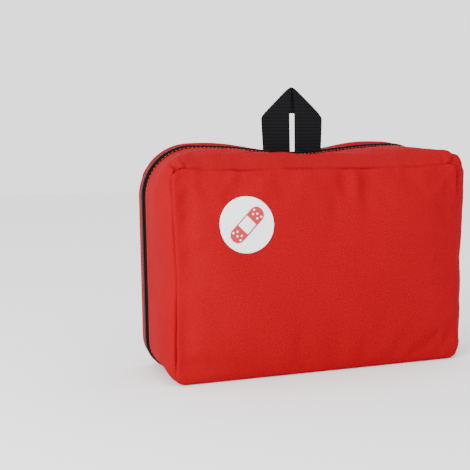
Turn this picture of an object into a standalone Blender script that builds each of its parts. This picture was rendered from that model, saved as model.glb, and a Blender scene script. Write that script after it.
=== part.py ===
"""Soft first aid kit: a zipped fabric pouch that stands on its base, with a webbing loop and its contents.

Frame: metres, +Z up, -Y the front, origin on the floor under the middle of the case. The front shell is a
deep tub. The rear shell is a shallow lid, which carries the hanging loop and folds back about the bottom
edge of the back panel.
"""

import math

import bmesh
import bpy
from mathutils import Matrix, Vector

# ---- driving dimensions ----
GAP = 0.0003              # clearance between neighbouring solids
FABRIC = 0.0016           # coated polyester, foam and lining together
STRAP = 0.0012            # elastic strap

FRONT_CROWN_Y = -0.0380   # foremost point of the padded front
FRONT_SEAM_Y = -0.0320    # front panel to gusset seam
ZIP_Y = 0.0210            # plane in which the two zip halves meet
BACK_Y = 0.0390           # outer face of the back panel

FRONT_HALF_W = 0.1070     # front panel, at its seam
FRONT_TOP_Z = 0.1480
FRONT_CORNER_R = 0.0140
HOOP_HALF_W = 0.1160      # case outline at the zip
HOOP_TOP_Z = 0.1610
HOOP_TOP_R = 0.0360
HOOP_BOTTOM_R = 0.0220
SAG = 0.0060              # dip of the zip line under the hanging loop
SAG_HALF_WIDTH = 0.0420
LID_FLOOR_GAP = 0.0004

ZIP_WIDTH = 0.0094        # both tapes and both coils, as seen
COIL_WIDTH = 0.0020
COIL_HEIGHT = 0.0024
COIL_PROUD = 0.0006

WEB_W = 0.0225            # hanging loop webbing
WEB_T = 0.0014
LOOP_SLOT = 0.0044
SLOT_RISE = 0.0022        # the slot ends this far above the lower end of the diagonal folds
LOOP_PIVOT = Vector((0.0014, ZIP_Y + 0.0062, 0.1578))
LOOP_LEG = 0.0256         # leg height up to the diagonal folds

SLIDER_Z = 0.0370         # slider's middle with the zip closed
BADGE_R = 0.0190
BADGE_AT = (-0.0584, 0.1072)

FRONT_ROW_Y = (-0.0305, -0.0067)    # the two rows of contents, front and rear face
REAR_ROW_Y = (-0.0050, 0.0172)
ROLL_R = 0.0118
TAPE_ROLL_R = 0.0230
TAPE_CORE_R = 0.0108

POCKET_HALF_W = 0.0880    # net pocket on the lid's lining
POCKET_LOW_Z = 0.0120
POCKET_TOP_Z = 0.0640
POCKET_DEPTH = 0.0080
POCKET_EDGE = 0.0100      # width over which the net rises from its sewn edge
NET_T = 0.0008

SCISSOR_PIVOT = Vector((-0.0130, 0.0, 0.1260))
SCISSOR_STEEL = 0.0014
RIVET_HOLE_R = 0.0024
RIVET_R = 0.0021
GRIP_AT = (0.0500, 0.0145)          # a finger ring's middle from the rivet
GRIP_R = 0.0115
GRIP_STRETCH = 1.28
TWEEZERS_AT = (-0.0810, 0.0980)

ARC_STEPS = 6
SIDE_STEPS = 3
TOP_STEPS = 12

FRONT_PANEL_EDGE_Y = FRONT_SEAM_Y - GAP - FABRIC
TAPE_FRONT_Y = ZIP_Y - ZIP_WIDTH / 2
TAPE_REAR_Y = ZIP_Y + ZIP_WIDTH / 2
LINING_Y = BACK_Y - FABRIC          # inner face of the back panel
TUB_FLOOR = FABRIC + GAP
SCISSOR_A_Y = LINING_Y - 0.0022     # middle of the fixed blade
SCISSOR_B_Y = SCISSOR_A_Y - SCISSOR_STEEL - GAP

# share of the gusset's depth, half width, top height, top and bottom corner radius, dip of the top
GUSSET_SECTIONS = (
    (0.00, FRONT_HALF_W, FRONT_TOP_Z, FRONT_CORNER_R, FRONT_CORNER_R, 0.0),
    (0.10, 0.1122, 0.1525, 0.0180, 0.0160, 0.0),
    (0.35, 0.1168, 0.1572, 0.0270, 0.0190, 0.0010),
    (0.70, 0.1172, 0.1602, 0.0340, 0.0210, 0.0030),
    (1.00, HOOP_HALF_W, HOOP_TOP_Z, HOOP_TOP_R, HOOP_BOTTOM_R, SAG),
)

# one scissor half about the rivet, its point at -X
BLADE_HALF = (
    (-0.0470, -0.0010), (-0.0390, -0.0038), (-0.0060, -0.0058), (0.0060, -0.0056),
    (0.0200, 0.0020), (0.0325, 0.0085), (0.0325, 0.0150), (0.0180, 0.0085),
    (0.0060, 0.0060), (-0.0060, 0.0058), (-0.0410, 0.0016),
)

# joint: a point on its axis, the joint that carries it, and the pieces that it moves
JOINTS = {
    "lid_fold": (
        (0.0, BACK_Y, 0.0),
        None,
        (
            "back_panel", "rear_band", "zip_tape_rear", "zip_coil_rear", "net_pocket", "pocket_elastic",
            "leaflet", "wipe_sachet_1", "wipe_sachet_2", "scissor_blade_a", "scissor_grip_a",
            "scissor_rivet", "scissor_loop", "tweezers", "tweezer_loop",
        ),
    ),
    "loop_bend": (tuple(LOOP_PIVOT), "lid_fold", ("hanging_loop", "loop_crossing")),
    "scissor_turn": (
        (SCISSOR_PIVOT.x, SCISSOR_B_Y, SCISSOR_PIVOT.z), "lid_fold", ("scissor_blade_b", "scissor_grip_b"),
    ),
    "slider_run": ((HOOP_HALF_W, ZIP_Y, SLIDER_Z), None, ("slider_body",)),
    "pull_swing": ((HOOP_HALF_W + 0.0037, ZIP_Y, SLIDER_Z), "slider_run", ("pull_tab",)),
}


# ---- scene ----
def clear_scene():
    for obj in list(bpy.data.objects):
        bpy.data.objects.remove(obj)


def new_collection(name, hidden=False):
    collection = bpy.data.collections.new(name)
    collection.hide_render = hidden
    bpy.context.scene.collection.children.link(collection)
    return collection


clear_scene()
KIT = new_collection("first_aid_kit")
HELPERS = new_collection("cutters", hidden=True)
MATERIALS = {}


def material(name, color, roughness=0.8, metallic=0.0):
    if name not in MATERIALS:
        made = bpy.data.materials.new(name)
        made.use_nodes = True
        shader = made.node_tree.nodes["Principled BSDF"]
        shader.inputs["Base Color"].default_value = (*color, 1.0)
        shader.inputs["Roughness"].default_value = roughness
        shader.inputs["Metallic"].default_value = metallic
        MATERIALS[name] = made
    return MATERIALS[name]


RED = material("red_fabric", (0.62, 0.02, 0.02), 0.85)
BLACK = material("black_webbing", (0.012, 0.012, 0.014), 0.75)
LINING = material("lining", (0.03, 0.03, 0.035), 0.8)
ELASTIC = material("elastic", (0.02, 0.02, 0.022), 0.8)
WHITE_PRINT = material("badge_print", (0.86, 0.86, 0.88), 0.5)
STEEL = material("steel", (0.6, 0.6, 0.62), 0.25, 1.0)
BLACK_METAL = material("black_metal", (0.03, 0.03, 0.03), 0.4, 0.8)
GAUZE = material("gauze", (0.85, 0.84, 0.8), 0.9)
PAPER = material("paper", (0.88, 0.88, 0.86), 0.7)
FILM = material("film", (0.75, 0.8, 0.82), 0.3)
FOIL = material("foil", (0.75, 0.6, 0.25), 0.3, 0.9)
GRIP = material("grip_plastic", (0.6, 0.03, 0.02), 0.45)
TAPE = material("adhesive_tape", (0.83, 0.72, 0.6), 0.7)


# ---- mesh helpers ----
def add(name, data, mat, collection=None):
    obj = bpy.data.objects.new(name, data)
    (collection or KIT).objects.link(obj)
    obj.data.materials.clear()
    obj.data.materials.append(mat)
    return obj


def mesh_object(name, points, faces, mat, collection=None):
    mesh = bpy.data.meshes.new(name)
    mesh.from_pydata([tuple(p) for p in points], [], faces)
    mesh.update()
    return add(name, mesh, mat, collection)


def solidify(obj, thickness, offset=-1.0):
    modifier = obj.modifiers.new("thickness", "SOLIDIFY")
    modifier.thickness = thickness
    modifier.offset = offset
    return obj


def grid_faces(rows, count):
    """Faces of a grid of points held row by row."""
    found = []
    for i in range(rows - 1):
        for j in range(count - 1):
            a = i * count + j
            found.append((a, a + 1, a + 1 + count, a + count))
    return found


def dome_faces(rings, count):
    """Faces of closed rings of points from the rim inwards, and of the fan to the point after them."""
    found = []
    for i in range(rings):
        for j in range(count):
            k = (j + 1) % count
            if i < rings - 1:
                found.append((i * count + j, (i + 1) * count + j, (i + 1) * count + k, i * count + k))
            else:
                found.append((i * count + j, rings * count, i * count + k))
    return found


def loft(name, sections, thickness, mat):
    """A band through sections of equal length, each an open row of points; its outer side is given."""
    points = [p for section in sections for p in section]
    faces = grid_faces(len(sections), len(sections[0]))
    obj = solidify(mesh_object(name, points, faces, mat), thickness)
    obj.data.shade_smooth()
    return obj


def move_to(obj, collection):
    for held_by in list(obj.users_collection):
        held_by.objects.unlink(obj)
    collection.objects.link(obj)


def adopt(name):
    """The primitive just added, as a named piece of the kit."""
    obj = bpy.context.active_object
    move_to(obj, KIT)
    obj.name = name
    return obj


def box(name, low, high, mat, bevel=0.0, segments=1):
    """A box between two corners, its edges rounded by a bevel."""
    low, high = Vector(low), Vector(high)
    bpy.ops.mesh.primitive_cube_add(size=1.0)
    obj = adopt(name)
    size = high - low
    for vertex in obj.data.vertices:
        vertex.co = Vector(c * s for c, s in zip(vertex.co, size))
    obj.location = (low + high) / 2
    obj.data.materials.append(mat)
    if bevel:
        modifier = obj.modifiers.new("edges", "BEVEL")
        modifier.width = bevel
        modifier.segments = segments
    return obj


def cylinder(name, centre, radius, depth, mat, axis="Z", sides=28, bevel=0.0):
    turn = {"X": (0, math.pi / 2, 0), "Y": (math.pi / 2, 0, 0), "Z": (0, 0, 0)}[axis]
    bpy.ops.mesh.primitive_cylinder_add(
        vertices=sides, radius=radius, depth=depth, location=centre, rotation=turn
    )
    obj = adopt(name)
    obj.data.materials.append(mat)
    if bevel:
        modifier = obj.modifiers.new("edges", "BEVEL")
        modifier.width = bevel
        modifier.limit_method = "ANGLE"
    return obj


def boolean(obj, other, operation):
    modifier = obj.modifiers.new(operation.lower(), "BOOLEAN")
    modifier.operation = operation
    modifier.object = other
    return obj


def as_helper(obj):
    move_to(obj, HELPERS)
    obj.hide_render = True
    obj.display_type = "WIRE"
    return obj


def flat_outline(name, outline, thickness, mat, holes=(), plane_y=0.0):
    """A flat piece in the XZ plane: closed outlines of (x, z) points, centred on y = plane_y."""
    curve = bpy.data.curves.new(name, "CURVE")
    curve.dimensions = "2D"
    curve.fill_mode = "BOTH"
    curve.extrude = thickness / 2
    for ring in (outline, *holes):
        spline = curve.splines.new("POLY")
        spline.points.add(len(ring) - 1)
        for point, (x, z) in zip(spline.points, ring):
            point.co = (x, z, 0.0, 1.0)
        spline.use_cyclic_u = True
    obj = add(name, curve, mat)
    obj.location = (0.0, plane_y, 0.0)
    obj.rotation_euler = (math.pi / 2, 0.0, 0.0)
    return obj


def to_mesh(obj):
    """The evaluated curve as a mesh object of the same name, its caps welded on."""
    bpy.context.view_layer.update()
    graph = bpy.context.evaluated_depsgraph_get()
    mesh = bpy.data.meshes.new_from_object(obj.evaluated_get(graph))
    shape = bmesh.new()
    shape.from_mesh(mesh)
    bmesh.ops.remove_doubles(shape, verts=shape.verts, dist=2e-5)
    bmesh.ops.recalc_face_normals(shape, faces=shape.faces)
    shape.to_mesh(mesh)
    shape.free()
    name, matrix = obj.name, obj.matrix_world.copy()
    mat = obj.data.materials[0]
    bpy.data.objects.remove(obj)
    made = add(name, mesh, mat)
    made.matrix_world = matrix
    return made


def strap(name, path, low, high, thickness, mat, along="Z"):
    """A flat strap that follows path; its width runs from low to high on the other axis.

    path holds (x, y) points for along = Z, and (y, z) points for along = X.
    """
    sections = []
    for level in (low, high):
        if along == "Z":
            sections.append([Vector((a, b, level)) for a, b in path])
        else:
            sections.append([Vector((level, a, b)) for a, b in path])
    points = [p for section in sections for p in section]
    obj = mesh_object(name, points, grid_faces(2, len(path)), mat)
    return solidify(obj, thickness, 0.0)


def arc(centre, radius, start, end, steps=ARC_STEPS):
    """Points of (u, v) on a circle from start to end, in degrees."""
    found = []
    for k in range(steps + 1):
        angle = math.radians(start + (end - start) * k / steps)
        found.append((centre[0] + radius * math.cos(angle), centre[1] + radius * math.sin(angle)))
    return found


# ---- the case's outline ----
def dip(x, depth):
    return depth * math.exp(-((x / SAG_HALF_WIDTH) ** 2))


def hoop(y, half_w, top_z, top_r, bottom_r, sag, low_z=0.0):
    """The case's outline at one depth, from its lower left corner over the top to its lower right one."""
    side_low, side_high = low_z + bottom_r, top_z - top_r
    side_zs = [side_low + (side_high - side_low) * k / SIDE_STEPS for k in range(1, SIDE_STEPS)]
    points = arc((-half_w + bottom_r, low_z + bottom_r), bottom_r, 270, 180)
    for z in side_zs:
        points.append((-half_w, z))
    points += arc((-half_w + top_r, top_z - top_r), top_r, 180, 90)
    span = 2 * (half_w - top_r)
    for k in range(1, TOP_STEPS):
        points.append((-half_w + top_r + span * k / TOP_STEPS, top_z))
    points += arc((half_w - top_r, top_z - top_r), top_r, 90, 0)
    for z in reversed(side_zs):
        points.append((half_w, z))
    points += arc((half_w - bottom_r, low_z + bottom_r), bottom_r, 0, -90)
    found = []
    for x, z in points:
        drop = dip(x, sag) if z > top_z - top_r / 4 else 0.0
        found.append(Vector((x, y, z - drop)))
    return found


def zip_hoop(y, proud=0.0, low_z=0.0):
    half_w, top_z = HOOP_HALF_W + proud, HOOP_TOP_Z + proud
    return hoop(y, half_w, top_z, HOOP_TOP_R + proud, HOOP_BOTTOM_R + proud, SAG, low_z)


def front_ring(inset, y):
    """The front panel's closed outline, inset from its seam."""
    half_w, top_z, radius = FRONT_HALF_W - inset, FRONT_TOP_Z - inset, FRONT_CORNER_R
    sides = hoop(y, half_w, top_z, radius, radius, 0.0, GAP + inset)
    start, end = sides[-1], sides[0]
    base = [start.lerp(end, k / TOP_STEPS) for k in range(1, TOP_STEPS)]
    return sides + base


def front_crown(x, z):
    """How far the padded front stands out of its seam plane at (x, z), from 0 to 1."""
    u = x / FRONT_HALF_W
    v = 2 * z / FRONT_TOP_Z - 1
    return max(0.0, 1 - u ** 4) * max(0.0, 1 - v ** 4)


def front_surface_y(x, z):
    return FRONT_PANEL_EDGE_Y + (FRONT_CROWN_Y - FRONT_PANEL_EDGE_Y) * front_crown(x, z)


# ---- front shell ----
def front_panel():
    outer = front_ring(0.0, FRONT_PANEL_EDGE_Y)
    middle = Vector((0.0, 0.0, FRONT_TOP_Z / 2))
    rings = [outer]
    for share in (0.97, 0.9, 0.78, 0.6, 0.4, 0.2):
        ring = []
        for p in outer:
            x = p.x * share
            z = middle.z + (p.z - middle.z) * share
            ring.append(Vector((x, front_surface_y(x, z), z)))
        rings.append(ring)
    points = [p for ring in rings for p in ring]
    points.append(Vector((0.0, FRONT_CROWN_Y, middle.z)))
    faces = dome_faces(len(rings), len(outer))
    panel = solidify(mesh_object("front_panel", points, faces, RED), FABRIC)
    panel.data.shade_smooth()


def gusset_y(share):
    return FRONT_SEAM_Y + share * (TAPE_FRONT_Y - GAP - FRONT_SEAM_Y)


def front_gusset():
    """The band round the left, top and right of the tub; it swells behind the front seam."""
    sections = [hoop(gusset_y(share), *shape) for share, *shape in GUSSET_SECTIONS]
    loft("front_gusset", sections, FABRIC, RED)


def bottom_gusset():
    """The flat base strip, full depth: its rear edge is the fabric hinge of the lid."""
    side = []
    for share, half_w, _, _, bottom_r, _ in GUSSET_SECTIONS:
        side.append((half_w - bottom_r - 2 * GAP, gusset_y(share)))
    side.append((HOOP_HALF_W - HOOP_BOTTOM_R - 2 * GAP, LINING_Y - GAP))
    points = [(x, y, FABRIC) for x, y in side] + [(-x, y, FABRIC) for x, y in reversed(side)]
    solidify(mesh_object("bottom_gusset", points, [tuple(range(len(points)))], RED), FABRIC)


def zip_half(side, outer_y, inner_y, low_z):
    """One half of the zip: a tape sewn to the shell, and the coil along the tape's edge."""
    toward = 1 if inner_y > outer_y else -1
    tape_end = inner_y - toward * (GAP / 2 + COIL_WIDTH + GAP)
    coil_start = inner_y - toward * (GAP / 2 + COIL_WIDTH)
    coil_end = inner_y - toward * GAP / 2
    low, high = sorted((outer_y, tape_end))
    rows = [zip_hoop(y, low_z=low_z) for y in (low, high)]
    loft(f"zip_tape_{side}", rows, FABRIC, BLACK)
    low, high = sorted((coil_start, coil_end))
    rows = [zip_hoop(y, COIL_PROUD, low_z + COIL_PROUD) for y in (low, high)]
    loft(f"zip_coil_{side}", rows, COIL_HEIGHT, BLACK)


def badge():
    """A printed disc that lies on the crowned front."""
    rings, steps = (1.0, 0.66, 0.33), 32
    points = []
    for share in rings:
        for k in range(steps):
            angle = -2 * math.pi * k / steps
            x = BADGE_AT[0] + BADGE_R * share * math.cos(angle)
            z = BADGE_AT[1] + BADGE_R * share * math.sin(angle)
            points.append((x, front_surface_y(x, z) - 2 * GAP, z))
    points.append((BADGE_AT[0], front_surface_y(*BADGE_AT) - 2 * GAP, BADGE_AT[1]))
    faces = dome_faces(len(rings), steps)
    solidify(mesh_object("badge", points, faces, WHITE_PRINT), GAP, 1.0)


# ---- rear shell ----
def back_panel():
    sides = zip_hoop(0.0, low_z=LID_FLOOR_GAP)
    outline = [(p.x, p.z) for p in sides]
    to_mesh(flat_outline("back_panel", outline, FABRIC, RED, plane_y=BACK_Y - FABRIC / 2))


def rear_band():
    rows = [zip_hoop(y, low_z=LID_FLOOR_GAP) for y in (TAPE_REAR_Y + GAP, LINING_Y - GAP)]
    loft("rear_band", rows, FABRIC, RED)


def hanging_loop():
    """One folded webbing strip, as two layers: the legs with their diagonal folds, and the crossing stretch."""
    middle = LOOP_PIVOT.x
    inner = LOOP_SLOT / 2
    outer = inner + WEB_W
    shoulder_z = LOOP_PIVOT.z + LOOP_LEG
    slot_z = shoulder_z + SLOT_RISE
    peak_z = shoulder_z + WEB_W

    def foot(x):
        return (x, HOOP_TOP_Z - dip(x, SAG) + 5 * GAP)

    steps = [outer - (outer - inner) * k / 4 for k in range(5)]
    legs = [foot(middle - x) for x in steps]
    legs += [(middle - inner, slot_z), (middle + inner, slot_z)]
    legs += [foot(middle + x) for x in reversed(steps)]
    legs += [(middle + outer, shoulder_z), (middle + inner, peak_z)]
    legs += [(middle - inner, peak_z), (middle - outer, shoulder_z)]
    inset = 2 * GAP
    low_half = outer - SLOT_RISE - inset
    top = [(middle - low_half, slot_z + inset), (middle + low_half, slot_z + inset)]
    top += [(middle + inner, peak_z - inset), (middle - inner, peak_z - inset)]
    to_mesh(flat_outline("hanging_loop", legs, WEB_T, BLACK, plane_y=LOOP_PIVOT.y - WEB_T / 2))
    to_mesh(flat_outline("loop_crossing", top, WEB_T, BLACK, plane_y=LOOP_PIVOT.y + GAP + WEB_T / 2))


# ---- zip slider ----
def zip_slider():
    """The slider's plate with the arch for the pull, and the pull that hangs from it."""
    base_x = HOOP_HALF_W + COIL_PROUD + GAP
    top_x = base_x + 0.0016
    arch_x = top_x + 0.0024
    arch_half = 0.0045
    body = box("slider_body", (base_x, ZIP_Y - 0.0046, SLIDER_Z - 0.0070),
               (top_x, ZIP_Y + 0.0046, SLIDER_Z + 0.0070), BLACK_METAL, 0.0005)
    arch = [
        ((top_x - 0.0006, -arch_half), (arch_x + 0.0004, -arch_half + 0.0014)),
        ((top_x - 0.0006, arch_half - 0.0014), (arch_x + 0.0004, arch_half)),
        ((arch_x, -arch_half), (arch_x + 0.0010, arch_half)),
    ]
    for number, ((low_x, low_z), (high_x, high_z)) in enumerate(arch):
        piece = box(f"slider_arch_{number}", (low_x, ZIP_Y - 0.0010, SLIDER_Z + low_z),
                    (high_x, ZIP_Y + 0.0010, SLIDER_Z + high_z), BLACK_METAL)
        boolean(body, as_helper(piece), "UNION")

    middle_x = (top_x + arch_x) / 2
    tab = box("pull_tab", (middle_x - 0.0006, ZIP_Y - 0.0032, SLIDER_Z - 0.0220),
              (middle_x + 0.0006, ZIP_Y + 0.0032, SLIDER_Z + 0.0006), BLACK_METAL)
    eye = box("pull_tab_eye", (middle_x - 0.0030, ZIP_Y - 0.0018, SLIDER_Z - 0.0110),
              (middle_x + 0.0030, ZIP_Y + 0.0018, SLIDER_Z - 0.0006), BLACK_METAL)
    boolean(tab, as_helper(eye), "DIFFERENCE")


# ---- what the tub holds ----
def tub_contents():
    front_middle = sum(FRONT_ROW_Y) / 2
    for name, x, height in (("gauze_roll_wide", -0.0770, 0.080), ("gauze_roll_narrow", -0.0525, 0.060)):
        cylinder(name, (x, front_middle, TUB_FLOOR + height / 2), ROLL_R, height, GAUZE, bevel=0.0012)

    at = (-0.0165, front_middle, TUB_FLOOR + TAPE_ROLL_R)
    spool = cylinder("tape_roll", at, TAPE_ROLL_R, 0.0200, TAPE, "Y", 40)
    core = cylinder("tape_core", at, TAPE_CORE_R, 0.0300, TAPE, "Y", 32)
    boolean(spool, as_helper(core), "DIFFERENCE")

    packets = (
        ("dressing_packet", (0.0080, 0.0580), FRONT_ROW_Y, (0.0, 0.078), PAPER, 0.0040),
        ("glove_packet", (0.0590, 0.0890), FRONT_ROW_Y, (0.0, 0.086), FILM, 0.0050),
        ("triangular_bandage", (-0.0880, -0.0040), (REAR_ROW_Y[0], 0.0070), (0.0, 0.096), FILM, 0.0025),
        ("gauze_pad_packet", (-0.0860, -0.0080), (0.0074, REAR_ROW_Y[1]), (0.0, 0.080), PAPER, 0.0020),
        ("rescue_blanket", (0.0000, 0.0880), (REAR_ROW_Y[0], 0.0150), (0.0, 0.068), FOIL, 0.0040),
        ("plaster_packet", (0.0060, 0.0800), (-0.0030, 0.0050), (0.068 + GAP, 0.108), PAPER, 0.0015),
    )
    for name, (x0, x1), (y0, y1), (z0, z1), mat, bevel in packets:
        box(name, (x0, y0, TUB_FLOOR + z0), (x1, y1, TUB_FLOOR + z1), mat, bevel, 2)

    low = (-0.0900, FRONT_ROW_Y[1] + GAP, TUB_FLOOR)
    box("tub_divider", low, (0.0900, REAR_ROW_Y[0] - GAP, 0.0640), LINING, GAP)


# ---- what the lid holds ----
def pocket_y(x, z):
    """The outer face of the net pocket, which meets the lining at its sides and its lower edge."""
    side = min(1.0, (POCKET_HALF_W - abs(x)) / POCKET_EDGE)
    low = min(1.0, (z - POCKET_LOW_Z) / POCKET_EDGE)
    rise = math.sin(side * math.pi / 2) * math.sin(low * math.pi / 2)
    return LINING_Y - GAP - NET_T - POCKET_DEPTH * rise


def net_pocket():
    edge = [POCKET_EDGE * k / 4 for k in range(5)]
    flat_half = POCKET_HALF_W - POCKET_EDGE
    xs = [-POCKET_HALF_W + e for e in edge]
    xs += [-flat_half / 2, 0.0, flat_half / 2]
    xs += [POCKET_HALF_W - e for e in reversed(edge)]
    zs = [POCKET_LOW_Z + e for e in edge] + [0.0400, POCKET_TOP_Z]
    points = [(x, pocket_y(x, z), z) for z in zs for x in xs]
    solidify(mesh_object("net_pocket", points, grid_faces(len(zs), len(xs)), LINING), NET_T)
    path = [(x, pocket_y(x, POCKET_TOP_Z) + NET_T / 2) for x in xs]
    strap("pocket_elastic", path, POCKET_TOP_Z + GAP, POCKET_TOP_Z + 0.0080, NET_T, ELASTIC)


def pocket_contents():
    floor = POCKET_LOW_Z + POCKET_EDGE
    pieces = (
        ("leaflet", (-0.0700, 0.0700), (0.0014, 0.0004), floor + 0.044, PAPER),
        ("wipe_sachet_1", (-0.0680, -0.0080), (0.0038, 0.0019), floor + 0.038, FOIL),
        ("wipe_sachet_2", (0.0060, 0.0660), (0.0038, 0.0019), floor + 0.038, FOIL),
    )
    for name, (x0, x1), (front, back), top, mat in pieces:
        box(name, (x0, LINING_Y - front, floor), (x1, LINING_Y - back, top), mat, 0.0003)


def scissors():
    """Two steel blades, each with a plastic finger ring, on one rivet; the points are at -X."""
    at = SCISSOR_PIVOT
    hole = arc((at.x, at.z), RIVET_HOLE_R, 0, 345, 23)
    for letter, plane, flip in (("a", SCISSOR_A_Y, 1), ("b", SCISSOR_B_Y, -1)):
        outline = [(at.x + x, at.z + flip * z) for x, z in BLADE_HALF]
        to_mesh(flat_outline(f"scissor_blade_{letter}", outline, SCISSOR_STEEL, STEEL, (hole,), plane))
        bpy.ops.mesh.primitive_torus_add(
            major_radius=GRIP_R, minor_radius=0.0018, major_segments=28, minor_segments=8
        )
        ring = adopt(f"scissor_grip_{letter}")
        for vertex in ring.data.vertices:
            x, y, z = vertex.co
            vertex.co = (GRIP_STRETCH * x, -z, y)
        ring.location = (at.x + GRIP_AT[0], SCISSOR_A_Y - 0.0006, at.z + flip * GRIP_AT[1])
        ring.data.materials.append(GRIP)
        ring.data.shade_smooth()
    depth = 2 * SCISSOR_STEEL + 3 * GAP
    middle = (SCISSOR_A_Y + SCISSOR_B_Y) / 2 - GAP
    cylinder("scissor_rivet", (at.x, middle, at.z), RIVET_R, depth, STEEL, "Y", 24)


def tweezers():
    """One piece of spring steel, its two arms joined at the -X end."""
    upper = [(0.0, 0.0012), (0.0200, 0.0022), (0.0600, 0.0050), (0.0760, 0.0022)]
    upper += [(0.0760, 0.0012), (0.0600, 0.0038), (0.0200, 0.0010)]
    lower = [(x, -z) for x, z in reversed(upper)]
    half_outlines = upper + [(0.0120, 0.0)] + lower
    outline = [(TWEEZERS_AT[0] + x, TWEEZERS_AT[1] + z) for x, z in half_outlines]
    to_mesh(flat_outline("tweezers", outline, 0.0060, STEEL, plane_y=LINING_Y - 0.0034))


def tweezer_loop():
    """An elastic bridge over both arms, its ends sewn flat to the lining."""
    back_y = LINING_Y - GAP - STRAP / 2
    front_y = LINING_Y - 0.0076
    low, high = TWEEZERS_AT[1] - 0.0075, TWEEZERS_AT[1] + 0.0075
    path = [(back_y, low - 0.0050), (back_y, low), (front_y, low + 0.0006)]
    path += [(front_y, high - 0.0006), (back_y, high), (back_y, high + 0.0050)]
    strap("tweezer_loop", path, -0.0560, -0.0420, STRAP, ELASTIC, "X")


def scissor_loop():
    """An elastic bridge through one finger ring, which leaves the other blade free to turn."""
    back_y = LINING_Y - GAP - STRAP / 2
    front_y = LINING_Y - 0.0064
    ring_x = SCISSOR_PIVOT.x + GRIP_AT[0] + GRIP_STRETCH * GRIP_R
    path = [(ring_x - 0.0070, back_y), (ring_x - 0.0045, front_y), (ring_x + 0.0045, front_y)]
    path += [(ring_x + 0.0050, back_y), (ring_x + 0.0110, back_y)]
    low_z = SCISSOR_PIVOT.z + GRIP_AT[1] - 0.0050
    strap("scissor_loop", path, low_z, low_z + 0.0100, STRAP, ELASTIC)


# ---- joint axes ----
def set_joint_axes():
    """An empty on each joint's axis, as the parent of the pieces that the joint moves."""
    bpy.context.view_layer.update()
    empties = {}
    for joint, (point, carried_by, pieces) in JOINTS.items():
        empty = bpy.data.objects.new(joint, None)
        empty.empty_display_size = 0.01
        empty.location = point
        KIT.objects.link(empty)
        if carried_by:
            hold(empty, empties[carried_by])
        empties[joint] = empty
        for name in pieces:
            hold(bpy.data.objects[name], empty)


def hold(obj, empty):
    """Parents obj to an unturned empty without moving it."""
    where = JOINTS[empty.name][0]
    obj.parent = empty
    obj.matrix_parent_inverse = Matrix.Translation(where).inverted()


def run():
    front_panel()
    front_gusset()
    bottom_gusset()
    zip_half("front", TAPE_FRONT_Y, ZIP_Y, 0.0)
    zip_half("rear", TAPE_REAR_Y, ZIP_Y, LID_FLOOR_GAP)
    badge()
    back_panel()
    rear_band()
    hanging_loop()
    zip_slider()
    tub_contents()
    net_pocket()
    pocket_contents()
    scissors()
    tweezers()
    tweezer_loop()
    scissor_loop()
    set_joint_axes()


run()
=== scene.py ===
"""Looks of the soft first aid kit: sewn shells, zip, webbing loop, badge and contents, on a pale floor."""

import math

import bpy
import numpy as np
from mathutils import Matrix, Vector, noise
from mathutils.bvhtree import BVHTree
from mathutils.kdtree import KDTree


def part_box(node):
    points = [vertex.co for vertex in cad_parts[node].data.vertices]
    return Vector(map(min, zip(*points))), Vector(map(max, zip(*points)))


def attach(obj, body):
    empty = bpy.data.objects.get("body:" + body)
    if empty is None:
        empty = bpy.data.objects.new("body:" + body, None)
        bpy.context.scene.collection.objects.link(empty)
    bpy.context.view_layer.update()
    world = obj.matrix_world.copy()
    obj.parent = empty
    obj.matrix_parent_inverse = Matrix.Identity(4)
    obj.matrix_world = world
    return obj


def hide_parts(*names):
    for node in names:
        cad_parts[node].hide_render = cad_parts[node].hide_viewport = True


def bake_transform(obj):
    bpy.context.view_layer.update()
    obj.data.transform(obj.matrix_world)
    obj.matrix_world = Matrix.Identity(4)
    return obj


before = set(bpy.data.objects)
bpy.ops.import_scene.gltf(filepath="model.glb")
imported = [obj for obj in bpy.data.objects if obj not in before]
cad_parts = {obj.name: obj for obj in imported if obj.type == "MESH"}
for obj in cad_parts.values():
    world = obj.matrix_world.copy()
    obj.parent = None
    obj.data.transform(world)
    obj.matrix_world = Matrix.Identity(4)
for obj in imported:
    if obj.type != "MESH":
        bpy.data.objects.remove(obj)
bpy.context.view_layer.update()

# ---- sizes in metres, read from the frame where a CAD piece gives them ----
PANEL_LOW, PANEL_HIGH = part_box("front_panel")
TAPE_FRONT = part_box("zip_tape_front")
TAPE_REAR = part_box("zip_tape_rear")

HALF_W = PANEL_HIGH.x  # front seam
FRONT_TOP = PANEL_HIGH.z
SEAM_Y = PANEL_HIGH.y - 0.0006  # bottom of the seam's groove
CROWN_Y = PANEL_LOW.y
HOOP_TOP = TAPE_FRONT[1].z
TAPE_Y0 = TAPE_FRONT[0].y
TAPE_Y1 = TAPE_REAR[1].y
ZIP_Y = (TAPE_Y0 + TAPE_Y1) / 2
BACK_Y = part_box("back_panel")[1].y
SAG = 0.0060  # how far the top dips at the hanging loop
SAG_HALF_WIDTH = 0.0420
SPREAD = 0.0022  # how far the filled case widens at its base, on each side
CLOTH_T = 0.0012
BADGE_LOW, BADGE_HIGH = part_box("badge")
BADGE_X = (BADGE_LOW.x + BADGE_HIGH.x) / 2
BADGE_Z = (BADGE_LOW.z + BADGE_HIGH.z) / 2
BADGE_R = (BADGE_HIGH.x - BADGE_LOW.x) / 2
LOOP_LOW, LOOP_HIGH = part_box("hanging_loop")

ACROSS = 92  # grid cells across the front
UP = 64  # grid cells up the front


# ---- node helpers ----
def new_material(name, inputs):
    """A material with these values set on its shader's own sockets."""
    made = bpy.data.materials.new(name)
    made.use_nodes = True
    shader = made.node_tree.nodes["Principled BSDF"]
    for key, value in inputs.items():
        shader.inputs[key].default_value = value
    return made, made.node_tree, shader


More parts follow.
